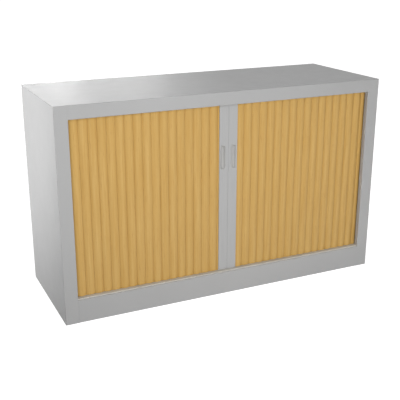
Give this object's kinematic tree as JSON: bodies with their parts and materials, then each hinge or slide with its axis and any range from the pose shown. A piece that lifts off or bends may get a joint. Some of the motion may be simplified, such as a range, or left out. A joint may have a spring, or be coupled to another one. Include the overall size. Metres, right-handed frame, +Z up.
{
  "type": "tambour door cabinet",
  "caption": "Low steel storage cabinet with two slatted tambour shutters that part in the middle and run back round its side walls, one shelf and levelling feet.",
  "frame": {"origin": "centre of the footprint, on the floor", "axes": "+X to the right seen from the front, +Y to the back, +Z up; the shutters face -Y"},
  "size_m": [1.2, 0.43, 0.726],
  "materials": {
    "cabinet_steel": "satin silver-grey powder coat",
    "inner_steel": "satin silver-grey powder coat",
    "slats": "satin beech foil with fine upright grain",
    "lead_rail": "satin silver",
    "track_plastic": "fine matt",
    "pull_plastic": "satin",
    "nylon": "moulded",
    "rubber": "matt",
    "zinc": "bright zinc plate"
  },
  "bodies": {
    "cabinet": {"top_panel": "cabinet_steel", "front_plinth": "cabinet_steel", "back_panel": "cabinet_steel", "left_side_panel": "cabinet_steel", "right_side_panel": "cabinet_steel", "floor_panel": "inner_steel", "ceiling_panel": "inner_steel", "inner_back_panel": "inner_steel", "shelf": "inner_steel", "left_liner": "inner_steel", "right_liner": "inner_steel", "left_base_channel": "zinc", "left_lower_track": "track_plastic", "left_upper_track": "track_plastic", "left_lower_buffer": "rubber", "left_upper_buffer": "rubber", "left_front_shelf_clip": "zinc", "left_front_levelling_nut": "zinc", "left_rear_shelf_clip": "zinc", "left_rear_levelling_nut": "zinc", "right_base_channel": "zinc", "right_lower_track": "track_plastic", "right_upper_track": "track_plastic", "right_lower_buffer": "rubber", "right_upper_buffer": "rubber", "right_front_shelf_clip": "zinc", "right_front_levelling_nut": "zinc", "right_rear_shelf_clip": "zinc", "right_rear_levelling_nut": "zinc"},
    "left_shutter": {"left_curtain": "slats", "left_lead_rail": "lead_rail", "left_finger_pull": "pull_plastic", "left_lower_shoe": "nylon", "left_upper_shoe": "nylon"},
    "right_shutter": {"right_curtain": "slats", "right_lead_rail": "lead_rail", "right_finger_pull": "pull_plastic", "right_lower_shoe": "nylon", "right_upper_shoe": "nylon"},
    "left_front_foot": {"left_front_levelling_foot": "nylon", "left_front_levelling_stem": "zinc"},
    "left_rear_foot": {"left_rear_levelling_foot": "nylon", "left_rear_levelling_stem": "zinc"},
    "right_front_foot": {"right_front_levelling_foot": "nylon", "right_front_levelling_stem": "zinc"},
    "right_rear_foot": {"right_rear_levelling_foot": "nylon", "right_rear_levelling_stem": "zinc"}
  },
  "joints": [
    {"name": "left_shutter_slide", "type": "slide", "parent": "cabinet", "child": "left_shutter", "axis": [-1, 0, 0], "range_m": [0, 0.515], "deforming": ["left_curtain"]},
    {"name": "right_shutter_slide", "type": "slide", "parent": "cabinet", "child": "right_shutter", "axis": [1, 0, 0], "range_m": [0, 0.515], "deforming": ["right_curtain"]},
    {"name": "left_front_foot_screw", "type": "slide", "parent": "cabinet", "child": "left_front_foot", "axis": [0, 0, -1], "range_m": [0, 0.012]},
    {"name": "left_rear_foot_screw", "type": "slide", "parent": "cabinet", "child": "left_rear_foot", "axis": [0, 0, -1], "range_m": [0, 0.012]},
    {"name": "right_front_foot_screw", "type": "slide", "parent": "cabinet", "child": "right_front_foot", "axis": [0, 0, -1], "range_m": [0, 0.012]},
    {"name": "right_rear_foot_screw", "type": "slide", "parent": "cabinet", "child": "right_rear_foot", "axis": [0, 0, -1], "range_m": [0, 0.012]}
  ]
}
